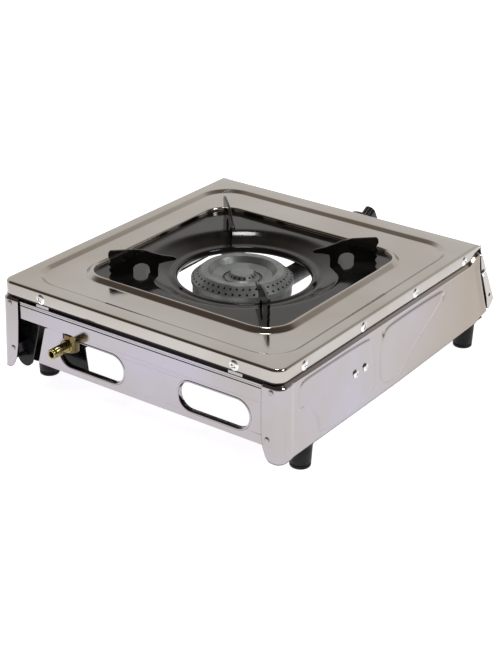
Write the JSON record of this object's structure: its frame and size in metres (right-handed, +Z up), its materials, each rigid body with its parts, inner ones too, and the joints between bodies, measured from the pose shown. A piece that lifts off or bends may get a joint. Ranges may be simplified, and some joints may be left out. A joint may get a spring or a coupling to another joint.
{
  "type": "table-top gas stove",
  "caption": "Single-burner table-top gas stove: polished sheet-steel body, lift-out black tray with pan supports, ring burner, brass hose nozzle and push-and-turn knob.",
  "frame": {"origin": "on the table under the middle of the whole object", "axes": "+Z up, the knob and front panel face -Y, the gas inlet is at the back, +Y, and +X is the user's right-hand side seen from the front"},
  "size_m": [0.3416, 0.4416, 0.142],
  "materials": {
    "polished_steel": "polished sheet steel with a faint brushed grain",
    "black_enamel": "glossy black vitreous enamel",
    "burner_grey": "machined grey aluminium, satin",
    "cast_body": "as cast, dark grey",
    "zinc_plate": "zinc-plated pressed steel",
    "bright_fastener": "bright nickel plate",
    "foot_rubber": "matt black rubber",
    "black_paint": "glossy black paint",
    "brass": "turned brass",
    "pipe_metal": "drawn tube",
    "black_knob": "moulded black plastic"
  },
  "bodies": {
    "chassis": {"top_cover": "polished_steel", "side_panel_left": "polished_steel", "side_panel_right": "polished_steel", "back_panel": "polished_steel", "front_panel": "polished_steel", "burner_bowl": "cast_body", "mixing_tube": "cast_body", "burner_support_bar": "zinc_plate", "valve_clamp": "zinc_plate", "valve_cap_plate": "zinc_plate", "burner_screw": "bright_fastener", "foot_screws": "bright_fastener", "foot_nuts": "bright_fastener", "valve_screws": "bright_fastener", "flange_screws": "bright_fastener", "support_bar_screws": "bright_fastener", "corner_rivets": "bright_fastener", "front_panel_screws": "bright_fastener", "foot_front_left": "foot_rubber", "foot_front_right": "foot_rubber", "foot_back_left": "foot_rubber", "foot_back_right": "foot_rubber", "corner_gusset": "black_paint", "inlet_bracket": "black_paint", "pipe_nut": "brass", "inlet_elbow": "brass", "hose_nozzle": "brass", "valve_body": "brass", "jet": "brass", "gas_pipe": "pipe_metal", "knob_bezel": "black_knob"},
    "tray": {"drip_tray": "black_enamel", "pan_support_fin_1": "black_enamel", "pan_support_fin_2": "black_enamel", "pan_support_fin_3": "black_enamel", "pan_support_fin_4": "black_enamel"},
    "ring_cap": {"burner_ring_cap": "burner_grey"},
    "centre_cap": {"burner_centre_cap": "burner_grey"},
    "shutter": {"air_shutter": "zinc_plate"},
    "plug": {"valve_plug": "brass", "valve_spring": "zinc_plate"},
    "knob": {"knob": "black_knob", "valve_spindle": "zinc_plate"}
  },
  "joints": [
    {"name": "knob_turn", "type": "hinge", "parent": "chassis", "child": "plug", "pos_m": [-0.008, -0.18806, 0.0875], "axis": [0, -0.8695, 0.4939], "range_deg": [0, 180]},
    {"name": "knob_push", "type": "slide", "parent": "plug", "child": "knob", "axis": [0, 0.8695, -0.4939], "range_m": [0, 0.003], "stiffness_N_per_m": 800, "springref_m": -0.004, "deforming": ["valve_spring"]},
    {"name": "tray_lift", "type": "slide", "parent": "chassis", "child": "tray", "axis": [0, 0, 1], "range_m": [0, 0.08]},
    {"name": "ring_cap_lift", "type": "slide", "parent": "chassis", "child": "ring_cap", "axis": [0, 0, 1], "range_m": [0, 0.06]},
    {"name": "centre_cap_lift", "type": "slide", "parent": "chassis", "child": "centre_cap", "axis": [0, 0, 1], "range_m": [0, 0.06]},
    {"name": "shutter_turn", "type": "hinge", "parent": "chassis", "child": "shutter", "pos_m": [-0.008, -0.127, 0.084], "axis": [0, 1, 0], "range_deg": [0, 60]}
  ]
}
